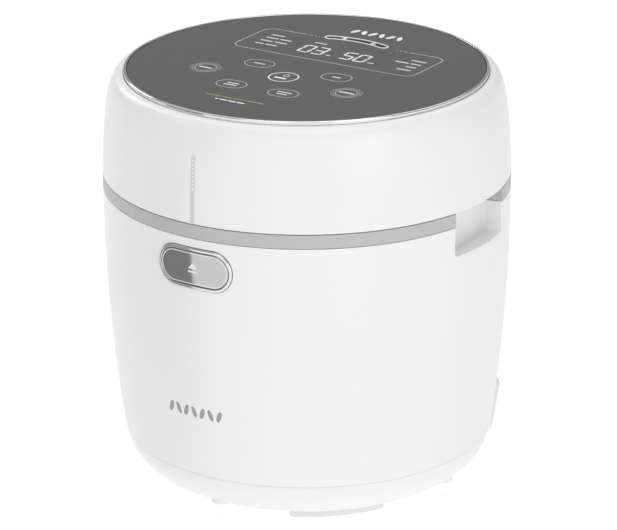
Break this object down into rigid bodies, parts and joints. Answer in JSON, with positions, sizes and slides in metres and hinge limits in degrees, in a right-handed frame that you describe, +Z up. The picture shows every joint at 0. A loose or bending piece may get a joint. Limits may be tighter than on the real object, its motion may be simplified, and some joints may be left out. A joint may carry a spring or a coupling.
{
  "type": "rice cooker",
  "caption": "Round white rice cooker with a hinged domed lid, dark glass touch panel, arc steam vent, push button at the front and finger grips at the sides.",
  "frame": {"origin": "centre of the body on the surface that the feet stand on", "axes": "+Z up, -Y towards the front with the open button, +X towards the right-hand grip as seen from the front"},
  "size_m": [0.24, 0.24, 0.2508],
  "materials": {
    "white_plastic": "smooth satin-gloss white moulding",
    "grey_plastic": "satin light grey moulding",
    "foot_plastic": "matt white",
    "chrome": "polished plating",
    "button_face": "mirror-like metallised face",
    "panel_glass": "smooth glass, printed dark grey from behind",
    "black_plastic": "satin black",
    "lining_plastic": "satin pale grey",
    "blue_plastic": "moulded case",
    "steel": "plated sheet and wire",
    "aluminium": "turned and cast",
    "pot_coating": "dark non-stick coating",
    "silicone": "matt translucent grey",
    "circuit_board": "solder mask",
    "wire_red": "insulation",
    "wire_white": "insulation"
  },
  "bodies": {
    "body": {"outer_shell": "white_plastic", "base_cover": "white_plastic", "collar": "grey_plastic", "foot_front_right": "foot_plastic", "foot_rear_right": "foot_plastic", "foot_rear_left": "foot_plastic", "foot_front_left": "foot_plastic", "base_screw_1": "steel", "base_screw_2": "steel", "base_screw_3": "steel", "base_screw_4": "steel", "inlet_housing": "white_plastic", "power_inlet": "black_plastic", "pot_liner": "steel", "heat_shield": "steel", "inner_pot": "pot_coating", "heating_plate": "aluminium", "heater_terminal_right": "steel", "heater_terminal_left": "steel", "sensor_bracket": "steel", "sensor_spring": "steel", "thermal_fuse": "wire_white", "power_board": "circuit_board", "relay": "blue_plastic", "capacitor": "black_plastic", "terminal_block": "lining_plastic", "heater_wire_right": "wire_red", "heater_wire_left": "wire_red", "inlet_cable": "wire_white", "button_bezel": "chrome", "latch_bracket": "lining_plastic", "latch_pin": "steel", "latch_spring": "steel", "hinge_bracket": "grey_plastic", "hinge_pin": "steel", "hinge_spring": "steel"},
    "lid": {"lid_shell": "white_plastic", "panel_ring": "chrome", "control_panel": "panel_glass", "vent_trim": "chrome", "steam_duct": "lining_plastic", "panel_carrier": "lining_plastic", "display_board": "circuit_board", "display_module": "black_plastic", "lid_liner": "lining_plastic", "inner_lid": "aluminium", "inner_lid_gasket": "silicone", "inner_lid_knob": "silicone", "steam_valve": "black_plastic", "lid_sensor": "steel", "lid_catch": "lining_plastic", "lid_hinge_arm_right": "grey_plastic", "lid_hinge_arm_left": "grey_plastic", "lid_screw_1": "steel", "lid_screw_2": "steel", "lid_screw_3": "steel", "lid_screw_4": "steel"},
    "latch": {"latch_lever": "lining_plastic"},
    "button": {"open_button": "button_face"},
    "sensor": {"sensor_cap": "aluminium"}
  },
  "joints": [
    {"name": "lid_hinge", "type": "hinge", "parent": "body", "child": "lid", "pos_m": [0, 0.112, 0.198], "axis": [-1, 0, 0], "range_deg": [0, 80], "deforming": ["hinge_spring"]},
    {"name": "open_button_press", "type": "slide", "parent": "body", "child": "button", "axis": [0, 1, 0], "range_m": [0, 0.0025], "stiffness_N_per_m": 800},
    {"name": "latch_pivot", "type": "hinge", "parent": "body", "child": "latch", "pos_m": [0, -0.104, 0.14], "axis": [-1, 0, 0], "range_deg": [0, 6.5], "deforming": ["latch_spring"]},
    {"name": "sensor_plunge", "type": "slide", "parent": "body", "child": "sensor", "axis": [0, 0, 1], "range_m": [-0.003, 0], "stiffness_N_per_m": 300, "springref_m": 0.003, "deforming": ["sensor_spring"]}
  ],
  "couplings": [
    {"joint": "latch_pivot", "follows": "open_button_press", "rad_per_m": 44.84}
  ]
}
